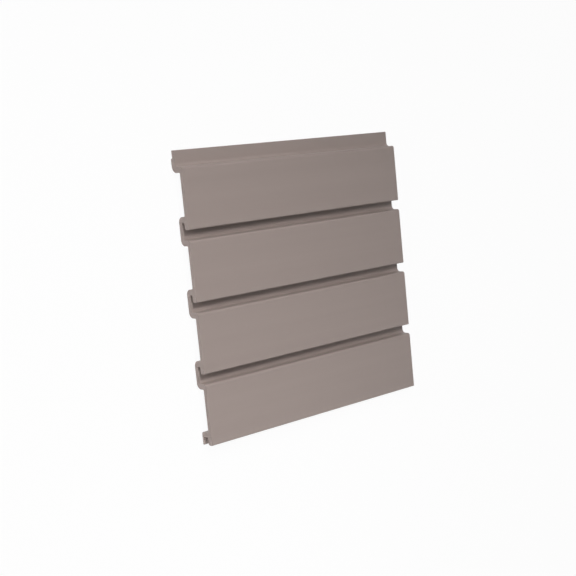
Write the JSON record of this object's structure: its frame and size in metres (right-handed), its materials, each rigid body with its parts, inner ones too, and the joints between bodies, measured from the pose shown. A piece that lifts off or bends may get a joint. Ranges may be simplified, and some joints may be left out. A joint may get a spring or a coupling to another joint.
{
  "type": "slatwall panel",
  "caption": "Extruded plastic slatwall panel with hooked slots between flat slats, a screw flange on its top edge and an interlocking hook on its bottom edge.",
  "frame": {"origin": "centre of the bounding box in X and Y, on its lowest plane, which is the back of the shoulder below the flange", "axes": "+X along the extrusion, +Y up the wall towards the flange, +Z out of the wall, square to the slat faces; the panel lies on its back"},
  "size_m": [0.3048, 0.3132, 0.0188],
  "materials": {
    "warm_grey_plastic": "satin, taupe grey, coloured through, fine lines along the extrusion"
  },
  "bodies": {
    "root": {"slatwall_panel": "warm_grey_plastic"}
  },
  "joints": []
}
